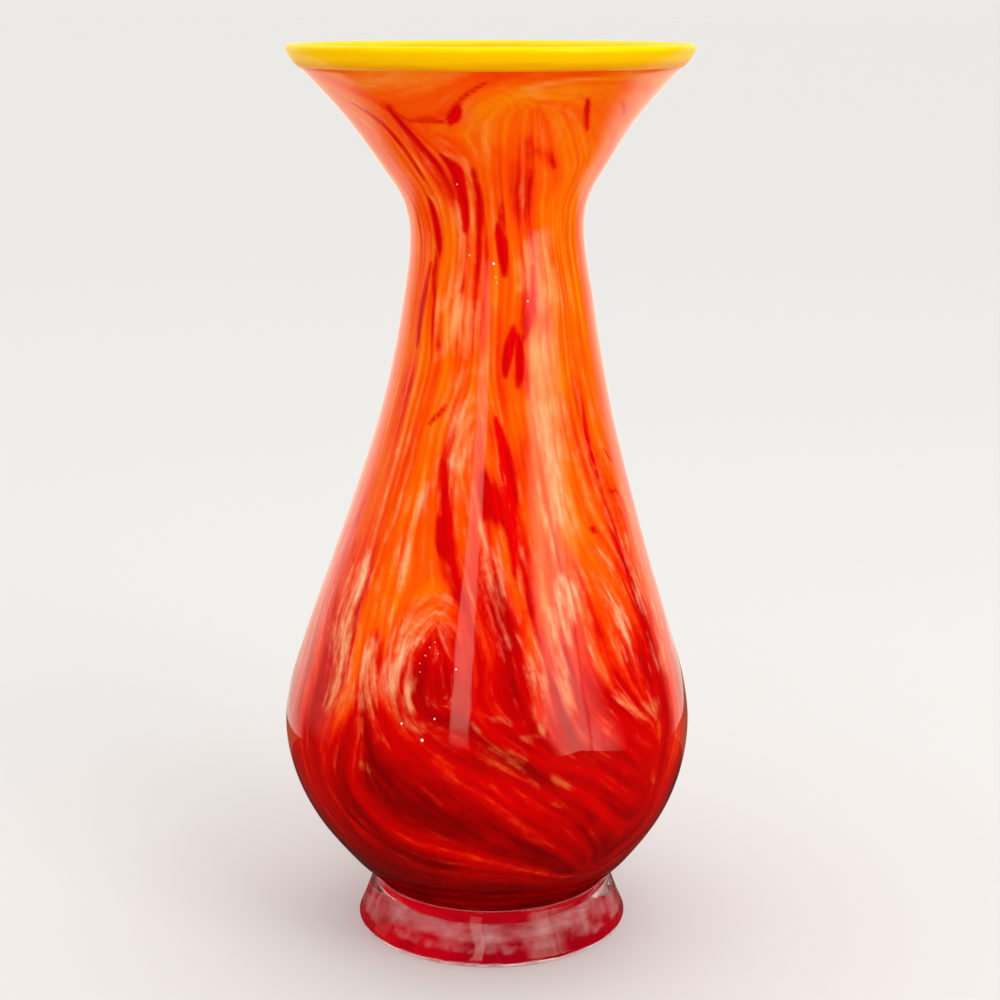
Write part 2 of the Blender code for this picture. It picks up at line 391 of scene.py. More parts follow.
# %% Strokes that shift the base colour
# half width in millimetres, strength, then the degrees and height of each place
REDS = (
    (3.5, 0.7, -38, 334, -37, 322, -33, 309, -29, 298),
    (2.5, 0.6, -43, 276, -45, 266, -42, 254, -38, 247, -33, 244), (4.0, 0.4, -55, 235, -56, 215, -54, 195),
    (3.0, 0.8, -12, 284, -15, 268, -18, 252, -20, 235, -22, 215, -23, 205),
    (2.2, 0.7, -20, 292, -23, 275, -25, 258, -24, 240, -22, 225),
    (5.0, 0.6, -4, 258, -2, 240, 0, 225, 3, 212), (4.0, 0.5, 1, 318, 2, 305, 4, 290),
    (5.0, 0.6, 15, 322, 14, 308, 17, 296, 22, 288), (2.0, 0.7, 20, 318, 25, 316, 31, 312),
    (2.5, 0.9, 23, 286, 24, 273, 22, 262, 18, 253), (2.5, 0.6, 13, 238, 16, 231, 21, 227),
    (2.5, 0.6, 30, 262, 30, 245), (3.5, 0.5, 37, 225, 40, 212, 45, 200, 48, 192),
    (3.0, 0.6, 46, 232, 50, 215), (4.0, 0.5, 10, 212, 13, 200, 16, 188),
    (6.0, 0.9, -24, 203, -21, 190, -19, 178, -14, 166, -10, 156),
    (5.0, 0.9, -1, 222, 3, 210, 7, 195, 10, 180, 13, 162, 14, 150), (6.0, 1.0, -4, 198, 0, 190, 4, 182),
    (9.0, 0.9, -10, 168, -8, 150, -4, 135, 0, 120), (6.0, 0.8, 2, 160, 5, 145, 6, 130, 7, 115),
    (15.0, 0.8, -18, 127, -12, 118, -5, 122), (4.0, 0.9, -35, 129, -30, 117, -25, 104, -16, 96),
    (5.0, 0.6, 12, 128, 17, 122, 19, 112), (7.0, 0.7, 38, 118, 44, 108, 50, 98),
    (7.0, 0.5, 50, 140, 54, 128, 57, 115), (2.5, 0.8, 52, 184, 56, 170, 59, 155, 61, 140, 63, 122),
    (6.0, 0.5, 33, 165, 36, 150, 38, 138), (7.0, 0.5, -64, 165, -66, 145, -60, 125),
    (4.0, 0.4, 24, 135, 27, 120, 28, 105), (2.5, 0.7, -39, 138, -35, 128, -31, 118),
    (2.5, 0.5, -47, 160, -49, 140, -48, 120, -50, 104), (5.0, 0.8, -50, 98, -53, 84, -50, 68, -43, 56),
    (3.5, 0.8, -44, 92, -46, 78, -42, 64, -34, 54, -24, 48), (3.0, 0.6, -38, 96, -42, 84, -40, 72, -34, 62),
    (3.0, 0.6, -20, 98, -12, 88, -3, 80, 4, 70, 10, 60),
    (4.0, 0.6, -30, 98, -22, 88, -12, 76, -4, 66, 4, 56), (4.0, 0.5, 10, 98, 18, 86, 26, 72, 32, 60),
    (3.0, 0.4, 2, 112, 10, 104, 20, 94, 30, 84), (4.0, 0.5, -70, 98, -72, 84, -66, 68, -58, 55),
    (4.0, 0.4, -62, 95, -60, 78),
)
AMBERS = (
    (9.0, 0.6, -30, 200, -31, 180, -32, 160, -34, 145), (5.0, 1.0, -45, 155, -45, 135, -44, 120, -46, 106),
    (8.0, 0.6, -38, 165, -36, 150, -34, 140), (4.0, 0.9, -28, 152, -22, 157, -14, 158),
    (4.0, 0.6, -27, 142, -22, 146, -15, 148), (30.0, 0.5, 55, 310, 57, 260, 60, 215),
    (6.0, 0.6, 14, 165, 17, 150), (3.0, 0.5, 13, 142, 14, 125, 15, 112),
    (6.0, 0.6, 40, 185, 45, 175, 50, 165), (3.5, 0.5, 1, 176, 5, 165, 9, 150),
    (9.0, 0.4, 20, 205, 22, 185, 24, 165), (5.0, 0.6, 10, 230, 11, 222, 12, 212),
    (8.0, 0.5, -30, 290, -32, 270, -30, 250), (8.0, 0.5, 10, 340, 30, 343, 50, 345),
    (10.0, 0.4, -60, 330, -55, 315, -52, 300), (6.0, 0.4, 26, 330, 40, 320, 50, 318),
    (2.0, 0.7, -47, 102, -48, 88, -45, 74, -38, 62, -30, 56), (2.0, 0.35, -14, 96, -6, 90, 0, 84, 6, 76),
    (2.5, 0.6, 14, 98, 22, 92, 30, 88, 38, 80), (2.0, 0.2, -36, 58, -26, 52, -16, 50),
    (2.0, 0.4, 24, 66, 30, 58, 34, 50), (14.0, 0.25, 30, 80, 45, 70, 55, 80),
)

# %% Pale strokes, where little colour lies over the core
PALES = (
    (2.2, 0.7, -25, 298, -24, 284, -26, 272, -30, 264), (2.0, 0.6, -27, 280, -30, 268, -36, 258),
    (2.5, 0.8, -24, 264, -27, 252, -31, 245, -36, 240), (1.5, 0.5, -40, 262, -38, 250, -33, 245),
    (1.4, 0.5, -30, 256, -27, 248), (1.8, 0.4, -14, 262, -15, 250, -17, 242),
    (1.6, 0.5, -24, 322, -18, 320), (1.6, 0.7, -17, 308, -15, 303),
    (1.4, 0.5, -22, 316, -14, 314, -12, 306), (2.8, 0.8, 13, 267, 17, 268, 19, 276, 18, 283),
    (3.5, 0.6, 24, 280, 26, 265, 24, 245, 22, 232), (3.5, 0.7, 33, 280, 36, 264, 35, 245),
    (5.0, 0.8, 28, 286, 30, 262, 28, 240, 26, 218, 25, 200), (3.5, 0.6, 33, 232, 31, 214, 29, 198, 28, 180),
    (2.5, 0.7, 19, 230, 22, 216, 26, 203), (2.5, 0.5, 27, 225, 28, 212), (2.5, 0.4, 36, 225, 38, 212),
    (1.4, 0.8, -20, 203, -17, 213, -12, 220, -8, 219), (1.3, 0.7, -16, 201, -14, 210, -10, 215),
    (1.3, 0.6, -22, 212, -18, 222, -11, 227, -4, 225), (1.3, 0.4, -23, 230, -17, 236, -8, 236),
    (5.0, 0.35, -44, 228, -47, 210, -50, 190, -51, 168),
    (6.0, 0.9, -53, 164, -53, 148, -52, 132, -51, 116, -52, 106), (2.5, 0.6, -60, 158, -61, 140, -58, 125),
    (2.5, 0.5, -40, 200, -43, 185, -45, 172), (2.2, 0.7, -30, 194, -33, 180, -35, 168, -34, 156),
    (3.5, 0.8, -40, 134, -41, 124, -43, 114, -47, 107), (3.5, 0.7, -38, 128, -37, 118, -34, 110),
    (3.0, 0.7, -42, 116, -38, 112), (1.6, 0.7, -38, 151, -36, 144),
    (1.8, 0.8, -29, 140, -25, 149, -19, 154, -12, 154), (1.6, 0.7, -29, 133, -27, 142, -22, 148, -15, 150),
    (1.5, 0.5, -26, 146, -20, 151), (1.7, 0.8, -27, 114, -29, 124, -27, 133, -22, 139),
    (1.9, 0.8, -27, 112, -23, 108, -18, 107), (1.6, 0.7, -22, 124, -24, 117, -21, 111),
    (1.8, 0.6, -4, 182, -1, 174, 3, 166, 5, 157), (1.6, 0.5, 3, 178, 2, 170, 6, 158, 10, 146),
    (1.5, 0.4, -3, 170, 2, 160, 7, 150), (1.6, 0.5, 12, 142, 14, 132, 14, 122, 13, 112),
    (1.6, 0.4, 9, 141, 12, 139), (1.5, 0.6, 16, 126, 17, 116), (1.6, 0.6, 2, 112, 6, 111),
    (1.5, 0.7, -4, 110, 0, 103, 6, 98, 11, 92), (1.4, 0.6, 10, 104, 14, 105, 17, 111),
    (1.4, 0.5, -2, 100, 4, 96, 11, 96), (1.5, 0.6, 18, 88, 22, 84), (1.6, 0.7, -36, 90, -33, 88),
    (1.8, 0.6, 51, 78, 54, 76), (1.5, 0.6, 19, 78, 22, 76), (1.4, 0.5, 12, 89, 14, 86),
    (5.0, 0.9, 26, 160, 27, 150, 26, 138), (3.5, 0.6, 22, 150, 23, 130, 24, 112),
    (3.0, 0.6, 43, 168, 50, 160, 54, 150), (3.0, 0.5, 40, 160, 46, 150, 52, 140),
    (3.0, 0.5, 64, 168, 62, 150, 64, 135), (3.0, 0.6, 62, 132, 64, 118),
    (5.0, 0.5, 42, 112, 50, 105, 58, 106), (3.0, 0.4, 33, 140, 35, 125), (4.0, 0.4, 66, 112, 70, 125),
    (3.0, 0.5, 22, 182, 24, 168), (3.5, 0.5, 46, 148, 50, 138, 48, 126),
)

# %% Chips that kept their edges, and lines that only steer the streaks
CHIPS = (
    (2.6, 1.0, -16, 328, -13, 331, -11, 335), (0.9, 1.0, -34, 329, -24, 329, -15, 328),
    (0.9, 1.0, -12, 333, -8, 338, -1, 343), (1.5, 1.0, -57, 335, -49, 329, -43, 317, -40, 301),
    (2.2, 1.0, -44, 299, -43, 289, -41, 278), (1.0, 1.0, -44, 280, -45.5, 270, -43, 262),
    (1.6, 1.0, -49, 275, -53, 260, -53, 243), (2.6, 1.0, -24, 316, -20, 311, -19.5, 300, -21, 288),
    (1.8, 1.0, -19, 314, -17, 309, -18, 299), (1.7, 1.0, -10, 311, -9.5, 300, -11, 287, -14, 270),
    (2.4, 1.0, 1, 290, 3, 283, 4.5, 272), (1.0, 1.0, 3.5, 298, 4.5, 288),
    (2.3, 1.0, 4, 235, 6, 244, 9.5, 253), (2.3, 1.0, 11, 231, 12.5, 240, 11, 250),
    (1.4, 1.0, 13, 246, 18, 253, 22, 263, 23.5, 275), (1.5, 1.0, 34, 337, 37, 331, 42, 325),
    (0.8, 1.0, 52, 335, 57, 332, 62, 330), (1.4, 1.0, 42, 176, 45, 175), (0.9, 1.0, 58, 188, 65, 186),
    (0.8, 1.0, 60, 204, 66, 198), (1.4, 1.0, 49, 224, 50, 206, 54, 184),
    (1.0, 1.0, -35, 216, -30, 220, -27, 223), (2.4, 1.0, 0, 219, 4, 207, 8, 188, 10, 168),
    (1.8, 1.0, 2, 206, 5, 190, 8, 172, 9, 158), (3.0, 1.0, -4, 197, 0, 190, 3, 183),
    (2.6, 1.0, -24, 204, -21, 190, -17, 174, -11, 156), (3.0, 1.0, -22, 184, -19, 173, -15, 167),
    (1.2, 1.0, -24, 208, -22, 192),
)
GUIDES = (
    (6.0, 1.0, -80, 335, -60, 338, -48, 330, -42, 314), (6.0, 1.0, -75, 344, -40, 342, -20, 345, 0, 348),
    (6.0, 1.0, -38, 336, -20, 340, -5, 346), (5.0, 1.0, -5, 338, 5, 343, 25, 347),
    (6.0, 1.0, 11, 315, 13, 330, 20, 340, 35, 345), (7.0, 1.0, 22, 336, 40, 331, 62, 330),
    (7.0, 1.0, 40, 345, 60, 342, 80, 336), (8.0, 1.0, -80, 318, -68, 308, -60, 290),
    (8.0, 1.0, -62, 110, -58, 86, -46, 64, -24, 50, 0, 46),
    (8.0, 1.0, -34, 96, -36, 80, -26, 66, -8, 58, 10, 54),
    (8.0, 1.0, -28, 108, -14, 92, 0, 79, 12, 66, 22, 52), (8.0, 1.0, 8, 108, 20, 94, 32, 80, 42, 62),
    (8.0, 1.0, 22, 112, 34, 96, 46, 84, 56, 66), (8.0, 1.0, 62, 112, 62, 90, 54, 66, 40, 50),
    (6.0, 1.0, -12, 142, -5, 130, -6, 118, -14, 112, -20, 118, -18, 130),
    (8.0, 1.0, -80, 34, -40, 32, 0, 32, 40, 32, 80, 34),
)
print("strokes:", len(REDS), len(AMBERS), len(PALES), len(CHIPS), len(GUIDES))

# %% Round the back
FAR_SEED = 11
FAR_SPREAD = 1.2  # the front's strokes cover 150 degrees, the far side is a little wider
FAR_NUDGE = (4.0, 6.0)  # degrees and millimetres that a stroke may be moved by
UNDER_LIP = 347  # millimetres: no stroke's place is moved higher


def all_round(strokes, random):
    """The front's strokes, and the same turned about to the far side: mirrored, spread and nudged."""
    far = []
    for half_width, strength, *places in strokes:
        sideways, upwards = random.uniform(-1, 1, 2) * FAR_NUDGE
        angle, height = np.reshape(places, (-1, 2)).T
        moved = [180 - FAR_SPREAD * angle + sideways, np.minimum(height + upwards, UNDER_LIP)]
        far.append((half_width, strength, *np.column_stack(moved).ravel()))
    return strokes + tuple(far)


far_random = np.random.default_rng(FAR_SEED)
reds, ambers, pales, chips, guides = (
    all_round(strokes, far_random) for strokes in (REDS, AMBERS, PALES, CHIPS, GUIDES)
)

# %% [markdown]
# ## From strokes to numbers on the wall
# The wall is treated as a sheet: degrees one way, distance up from the bottom pole the other. For each
# stroke we need how far each point of the sheet is from its line, and which way the line runs there.

# %% Distance from a stroke
WALL_COLUMNS = 384
WALL_ROWS = 220
STROKE_STEPS = 9
BLUNTNESS = 0.06  # how much of its width a stroke keeps at its very ends
LEAST_WIDTH = 0.0015  # metres: a soft stroke is never narrower, so that the mesh can hold it

wall_curve = evenly(OUTLINE, WALL_ROWS)[1:]
wall_along = distance_along(evenly(OUTLINE, WALL_ROWS))[1:]
wall_angle = np.linspace(-180, 180, WALL_COLUMNS, endpoint=False)
ALONG, ANGLE = np.meshgrid(wall_along, wall_angle, indexing="ij")
METRES_PER_DEGREE = math.radians(1.0) * wall_curve[:, 0]


def round_the_clock(angle):
    """Brings an angle in degrees into -180 to 180."""
    return (angle + 180.0) % 360.0 - 180.0


def beside(half_width, places, reach):
    """Which points of the sheet lie near a stroke, with their distance, its half width and its heading.

    The line is smooth through its places. The half width swells and thins along it as the square root of
    a sine, and the heading is kept as the cosine and sine of twice its angle, which has no forward or back.
    """
    points = np.reshape(places, (-1, 2)).astype(float)
    line = through(points, 2 * points[0] - points[1], 2 * points[-1] - points[-2], STROKE_STEPS)
    along = np.interp(line[:, 1] / 1000, OUTLINE[:, 1], OUTLINE_ALONG)
    scale = np.interp(along, wall_along, METRES_PER_DEGREE)
    share = np.linspace(BLUNTNESS, 1 - BLUNTNESS, len(line))
    swell = half_width / 1000 * np.sqrt(np.sin(np.pi * share))
    middle = (line[:, 0].max() + line[:, 0].min()) / 2
    near = np.abs(round_the_clock(ANGLE - middle)) < np.ptp(line[:, 0]) / 2 + reach / scale.min()
    near &= (ALONG > along.min() - reach) & (ALONG < along.max() + reach)
    across = round_the_clock(ANGLE[near][:, None] - line[:, 0]) * scale
    upward = ALONG[near][:, None] - along
    distance = np.hypot(across, upward)
    nearest = distance.argmin(axis=1)
    heading = np.arctan2(np.gradient(along), np.gradient(line[:, 0]) * scale) * 2
    turn = heading[nearest]
    gap = np.take_along_axis(distance, nearest[:, None], axis=1)[:, 0]
    return near, gap, swell[nearest], np.cos(turn), np.sin(turn)


def softly(strokes):
    """Strength of soft strokes at each point: the largest of strength x exp(-(distance / half width)^2)."""
    field = np.zeros(ANGLE.shape)
    for half_width, strength, *places in strokes:
        near, gap, width, _, _ = beside(half_width, places, 0.0025 * half_width + 2 * LEAST_WIDTH)
        width = np.hypot(width, LEAST_WIDTH)
        field[near] = np.maximum(field[near], strength * np.exp(-((gap / width) ** 2)))
    return field


def edges(strokes, furthest=6.0):
    """Millimetres from the edge of the nearest hard stroke, below zero inside it."""
    field = np.full(ANGLE.shape, furthest)
    for half_width, _, *places in strokes:
        near, gap, width, _, _ = beside(half_width, places, 0.001 * (half_width + furthest))
        field[near] = np.minimum(field[near], (gap - width) * 1000)
    return field


# %% [markdown]
# ## The grain
# Hot glass that is dragged about leaves fine streaks that follow every stroke. We get them by smearing
# a random speckle along the direction of the nearest strokes, which is called line integral convolution:
# each point takes the mean of the speckle along the path that leads through it.

# %% Grain
GRAIN_SEED = 4
GRAIN_STEP = 0.0013  # metres of path from one sample to the next
FLOW_REACH = 0.007  # metres over which the pull of a stroke's edge fades
FADED = 2.2  # times that distance: the pull is under a hundredth here
WOBBLE = 16  # degrees either way
UPRIGHT_PULL = 0.06  # how strongly the glass runs straight up where no stroke is near
# the broad grain, then the middle one: speckle size across in columns, steps of smear each way
GRAINS = ((9, 30), (2, 22))


def flow():
    """Direction of the streaks: the headings of all strokes, weighted by exp(-(distance / reach)^2)."""
    wobble = np.radians(WOBBLE) * np.sin(np.radians(5 * ANGLE) + 40 * ALONG)
    cosine = -UPRIGHT_PULL * np.cos(2 * wobble)
    sine = UPRIGHT_PULL * np.sin(2 * wobble)
    for half_width, _, *places in reds + ambers + pales + chips + guides:
        spread = FLOW_REACH + half_width / 1000
        near, gap, _, double_cosine, double_sine = beside(half_width, places, FADED * spread)
        weight = np.exp(-((gap / spread) ** 2))
        cosine[near] += weight * double_cosine
        sine[near] += weight * double_sine
    return cosine, sine


def read_sheet(sheet, row, column):
    """Values of the sheet between its points: a blend of the four around, wrapping round the vase."""
    row = np.clip(row, 0, sheet.shape[0] - 1.001)
    top, left = np.floor(row).astype(int), np.floor(column).astype(int)
    down, aside = row - top, column - left
    left, right = left % WALL_COLUMNS, (left + 1) % WALL_COLUMNS
    upper = sheet[top, left] * (1 - aside) + sheet[top, right] * aside
    lower = sheet[top + 1, left] * (1 - aside) + sheet[top + 1, right] * aside
    return upper * (1 - down) + lower * down


def smeared(speckle, cosine, sine, steps):
    """Mean of the speckle along the flow through each point, steps each way."""
    rows, columns = np.indices(speckle.shape).astype(float)
    row_size = wall_along[1] - wall_along[0]
    total = speckle.copy()
    for way in (1.0, -1.0):
        row, column = rows.copy(), columns.copy()
        before_across, before_up = np.zeros(rows.shape), np.full(rows.shape, way)
        for _ in range(steps):
            half_turn = np.arctan2(read_sheet(sine, row, column), read_sheet(cosine, row, column)) / 2
            across, up = np.cos(half_turn), np.sin(half_turn)
            back = np.where(across * before_across + up * before_up < 0, -1.0, 1.0)
            across, up = across * back, up * back
            scale = np.interp(row, np.arange(len(METRES_PER_DEGREE)), METRES_PER_DEGREE)
            column_size = np.maximum(scale, 0.0002) * 360 / WALL_COLUMNS
            row = row + up * GRAIN_STEP / row_size
            column = column + across * GRAIN_STEP / column_size
            before_across, before_up = across, up
            total += read_sheet(speckle, row, column)
    return total


def grain(cosine, sine):
    """One sheet for each grain size, each brought to a mean of 0.5 and a spread of 0.2."""
    random = np.random.default_rng(GRAIN_SEED)
    sheets = []
    for size, steps in GRAINS:
        speckle = random.random(ANGLE.shape)
        speckle = sum(np.roll(speckle, k, axis=1) for k in range(size))
        speckle = sum(np.roll(speckle, k, axis=0) for k in range((size + 1) // 2))
        sheet = smeared(speckle, cosine, sine, steps)
        sheet = (sheet - sheet.mean()) / sheet.std()
        sheets.append(np.clip(0.5 + 0.2 * sheet, 0, 1))
    return sheets


flow_cosine, flow_sine = flow()
broad_grain, middle_grain = grain(flow_cosine, flow_sine)
print("grain sheets:", broad_grain.shape)

# %% Levels of the base colour
# height in millimetres, level: 0 is the deepest red, 1 the brightest orange
# the glass is red low down and orange above; the lowest levels are also made darker than that red, as
# painted shade under the bowl
BASE_LEVELS = (
    (20, 0.20), (45, 0.27), (60, 0.34), (85, 0.41), (105, 0.45), (125, 0.53),
    (150, 0.63), (185, 0.71), (240, 0.75), (310, 0.76), (348, 0.80),
)
# height, level of a red stroke, level of an amber one
STROKE_LEVELS = (
    (40, 0.25, 0.34), (90, 0.36, 0.50), (130, 0.41, 0.74), (180, 0.48, 0.84), (348, 0.54, 0.88)
)

level_heights, level_values = np.array(BASE_LEVELS).T
HEIGHT = np.broadcast_to(wall_curve[:, 1:] * 1000, ANGLE.shape)
level = np.interp(HEIGHT, level_heights, level_values)
stroke_heights, red_levels, amber_levels = np.array(STROKE_LEVELS).T
for strokes, levels in ((ambers, amber_levels), (reds, red_levels)):
    pull = softly(strokes)
    level = level * (1 - pull) + np.interp(HEIGHT, stroke_heights, levels) * pull
paint = np.stack([level, softly(pales), edges(chips)], axis=-1)
grains = np.stack([broad_grain, middle_grain, 0 * middle_grain], axis=-1)
flow_length = np.hypot(flow_cosine, flow_sine)
headings = np.stack([flow_cosine / flow_length, flow_sine / flow_length, 0 * flow_sine], axis=-1)
print("level from", round(level.min(), 2), "to", round(level.max(), 2))

# %% [markdown]
# ## The marbled wall
# The colour layer is a bubble of its own, fused between two clear ones. Its clear neighbours reach a little
# way into it, as fused glass does, because a film of air there would shine like mercury. We keep
# the pattern's numbers on its vertices, and the finish adds detail that is finer than the mesh.

# %% Marbled wall
FUSED = 0.0003  # how far one gather reaches into the next
SEAM = 0.0003  # the gap between two gathers in the working model
colour_low, colour_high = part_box("colour_layer")
COLOUR_DEPTH = (casing_high.y - casing_low.y - colour_high.y + colour_low.y) / 2
inner_low, inner_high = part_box("inner_gather")
GATHER_DEPTH = (casing_high.y - casing_low.y - inner_high.y + inner_low.y) / 2
GATHER_WALL = 0.0012
LINING_ROWS = 40


def keep_on_vertices(piece, name, sheet):
    """Stores a sheet's vector on each vertex: the lining, then the outside downwards, then the poles."""
    rows = np.linspace(0, len(sheet) - 1, LINING_ROWS)[1:].round().astype(int)
    values = np.concatenate([sheet[rows], sheet[::-1]]).reshape(-1, 3)
    values = np.concatenate([values, sheet[:1, :1].repeat(2, axis=0).reshape(-1, 3)])
    attribute = piece.data.attributes.new(name, "FLOAT_VECTOR", "POINT")
    attribute.data.foreach_set("vector", np.ascontiguousarray(values, np.float32).ravel())


wall_outside = at_depth(WALL_ROWS, COLOUR_DEPTH)
wall_inside = at_depth(LINING_ROWS, GATHER_DEPTH - SEAM)
marbled_wall = turned("marbled_wall", np.concatenate([wall_inside, wall_outside[::-1]]), WALL_COLUMNS)
keep_on_vertices(marbled_wall, "paint", paint)
keep_on_vertices(marbled_wall, "grain", grains)
keep_on_vertices(marbled_wall, "flow", headings)
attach(marbled_wall, "root")
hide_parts("colour_layer")

# %% Streaks finer than the mesh
def flow_direction(tree, cosine, sine):
    """Unit vector along the flow: its stored double angle is halved and laid out on the surface."""
    half_turn = sine.sum_of("ARCTAN2", sine, cosine) * 0.5
    normal = add_node(tree, "ShaderNodeNewGeometry", None, 1)
    around = normal.vector("NORMALIZE", normal.vector("CROSS_PRODUCT", (0.0, 0.0, 1.0), normal))
    upward = normal.vector("CROSS_PRODUCT", normal, around)
    across = half_turn.sum_of("COSINE", half_turn)
    along = half_turn.sum_of("SINE", half_turn)
    across = across.node("ShaderNodeCombineXYZ", X=across, Y=across, Z=across)
    along = along.node("ShaderNodeCombineXYZ", X=along, Y=along, Z=along)
    return upward.vector("MULTIPLY_ADD", upward, along, around.vector("MULTIPLY", around, across))


def streaks(where, direction, scale, spacing, places=4):
    """A noise drawn out along the flow: its mean at evenly spaced places on a short line there."""
    total = 0.0
    for step in range(-places, places + 1):
        spot = direction.vector("MULTIPLY_ADD", direction, (step * spacing,) * 3, where)
        total = total + spot.noise(scale, 0.0)
    return (total / (2 * places + 1) - 0.5) * 4


# %% Marbled finish
# place on the level scale, colour: deep red to bright orange
BODY_TONES = (
    (0.06, (0.10, 0.0, 0.0)),
    (0.20, (0.26, 0.0, 0.0)),
    (0.33, (0.48, 0.0, 0.0)),
    (0.46, (0.66, 0.0, 0.0)),
    (0.54, (0.84, 0.018, 0.0)),
    (0.64, (0.98, 0.062, 0.0)),
    (0.78, (1.0, 0.115, 0.0)),
    (1.0, (1.0, 0.25, 0.0)),
)
# dull and light tones of the pale wisps: low on the belly, above it, and on the neck
PALE_TONES = (
    ((0.72, 0.05, 0.0), (0.80, 0.20, 0.04)),
    ((0.86, 0.20, 0.05), (1.0, 0.54, 0.29)),
    ((1.0, 0.20, 0.02), (1.0, 0.44, 0.16)),
)
CHIP_TONES = ((0.64, 0.0, 0.0), (0.80, 0.0, 0.0))
# painted glow: a red emission on the lowest few millimetres of the coloured wall
NO_PAINTED_GLOW, PAINTED_GLOW = (0.0, 0.0, 0.0), (0.30, 0.0, 0.008)
# heights in millimetres between which one look turns into the next
CALM_HEIGHTS = (140, 240)  # the neck was stretched most, which made its streaks long and even
CLOUDY_HEIGHTS = (70, 120)
HIGH_HEIGHTS = (90, 140)
NECK_HEIGHTS = (190, 250)
PAINTED_GLOW_HEIGHTS = (18.0, 21.0)


def marbled_glass():
    """Base colour by level, then pale wisps over it, then chips, each torn along the flow."""
    constants = {"Roughness": 0.6, "IOR": 1.05, "Emission Strength": 1.0}
    material, tree, shader = new_material("marbled_glass", constants)

    def three_numbers(name):
        stored = add_node(tree, "ShaderNodeAttribute", {"attribute_name": name}, 1)
        return [stored.part(i) for i in range(3)]

    level, pale, chip = three_numbers("paint")
    broad, middle = (part - 0.5 for part in three_numbers("grain")[:2])
    direction = flow_direction(tree, *three_numbers("flow")[:2])
    where = object_place(tree)
    height = where.part(2) * 1000
    calm = height.between(*CALM_HEIGHTS)
    streak = streaks(where, direction, scale=420.0, spacing=0.0013) * (1 - calm * 0.65)
    thread = streaks(where, direction, scale=1000.0, spacing=0.0006) * (1 - calm * 0.5)
    middle = middle * (1 + calm * 0.4)
    cloud = where.noise(60.0, 2.0) - 0.5

    tone = level + broad * 0.30 + middle * 0.22 + streak * 0.07 + thread * 0.05
    base = tone.node("ShaderNodeValToRGB", {"stops": BODY_TONES}, Fac=tone)

    # pale wisps: thinner colour, torn into feathers by the streaks
    veil = pale * 0.85 + (cloud * 0.8 + 0.16) * height.between(*CLOUDY_HEIGHTS)
    wisp = (veil + middle * 0.6 + streak * 0.45 + thread * 0.2).between(0.16, 1.4)
    tint = (streak * 0.8 + thread * 0.6 + cloud + 0.5).between(0.0, 1.0)
    low, high, neck = (painted(tree, dull, light, tint) for dull, light in PALE_TONES)
    pale_tone = painted(tree, low, high, height.between(*HIGH_HEIGHTS))
    pale_tone = painted(tree, pale_tone, neck, height.between(*NECK_HEIGHTS))
    body = painted(tree, base, pale_tone, wisp * 0.92)

    # chips
    edge = chip + streak * 0.9 + thread * 0.9
    chip_tone = painted(tree, *CHIP_TONES, (middle + streak * 0.4 + 0.5).between(0.2, 0.8))
    body = painted(tree, body, chip_tone, 1 - edge.between(-0.9, 1.1))

    # painted glow: the bottom of the coloured wall gives off red light of its own, in place of the light
    # that the clear foot gathers and sends up under the colour
    painted_glow = painted(tree, NO_PAINTED_GLOW, PAINTED_GLOW, 1 - height.between(*PAINTED_GLOW_HEIGHTS))
    connect(tree, painted_glow, shader.inputs["Emission Color"])
    connect(tree, body, shader.inputs["Base Color"])
    return material


marbled_wall.data.materials.append(marbled_glass())
print("marbled finish:", len(marbled_wall.data.materials[0].node_tree.nodes), "nodes")

# %% [markdown]
# ## Clear glass
# Glass is drawn by its surface alone: it bends and mirrors what is around it. Light for the coloured glass
# underneath would have to find its way through that surface by luck, which is slow and grainy, so lamps
# and scattered light pass it as if it weren't there, and only what we look at is bent.

# %% Clear finish
GLASS_IOR = 1.5
# colour of the painted reflection on the foot: a pale pink diffuse layer
PAINTED_REFLECTION_COLOUR = (1.0, 0.82, 0.80)
RIPPLE_SCALE = 45.0  # ripples about 20 mm apart
BACKFACING = 6  # the Geometry node's output


def clear_glass(name, tint, shade, painted_reflection=None, ripple=0.0, dull=None):
    """Real glass for the eye. For lamps and scattered light it is a pane that keeps back a little.

    A painted reflection is a function from the place to how much of a whitish diffuse layer lies on the
    glass there, in place of the mirrored room. A dull colour is what mirror images show of the outside,
    where they would show the bright floor through the glass.
    """
    constants = {"Roughness": 0.0, "IOR": GLASS_IOR, "Transmission Weight": 1.0}
    material, tree, shader = new_material(name, {"Base Color": (*tint, 1.0), **constants})
    where = object_place(tree)
    if ripple:
        swell = where.noise(RIPPLE_SCALE, 1.0)
        bumped = swell.node("ShaderNodeBump", Height=swell, Strength=1.0, Distance=ripple)
        connect(tree, bumped, shader.inputs["Normal"])
    surface = Value(shader.outputs[0])
    if painted_reflection:
        # painted reflection: a pale pink diffuse layer laid into the glass where the room would be mirrored
        painted_reflection_layer = add_node(tree, "ShaderNodeBsdfDiffuse", Color=(*PAINTED_REFLECTION_COLOUR, 1.0))
        surface = add_node(tree, "ShaderNodeMixShader", None, 0, (painted_reflection(where), surface, painted_reflection_layer))
    if dull:
        outside = 1 - add_node(tree, "ShaderNodeNewGeometry", None, BACKFACING)
        mirrored = is_ray(tree, MIRRORED) * outside
        flat = add_node(tree, "ShaderNodeBsdfDiffuse", Color=(*dull, 1.0))
        surface = add_node(tree, "ShaderNodeMixShader", None, 0, (mirrored, surface, flat))
    pane = add_node(tree, "ShaderNodeBsdfTransparent", Color=(*shade, 1.0))
    shadow, scattered = (is_ray(tree, kind) for kind in (SHADOW, SCATTERED))
    whole = add_node(tree, "ShaderNodeMixShader", None, 0, (shadow.largest(scattered), surface, pane))
    connect(tree, whole, tree.nodes["Material Output"].inputs["Surface"])
    return material


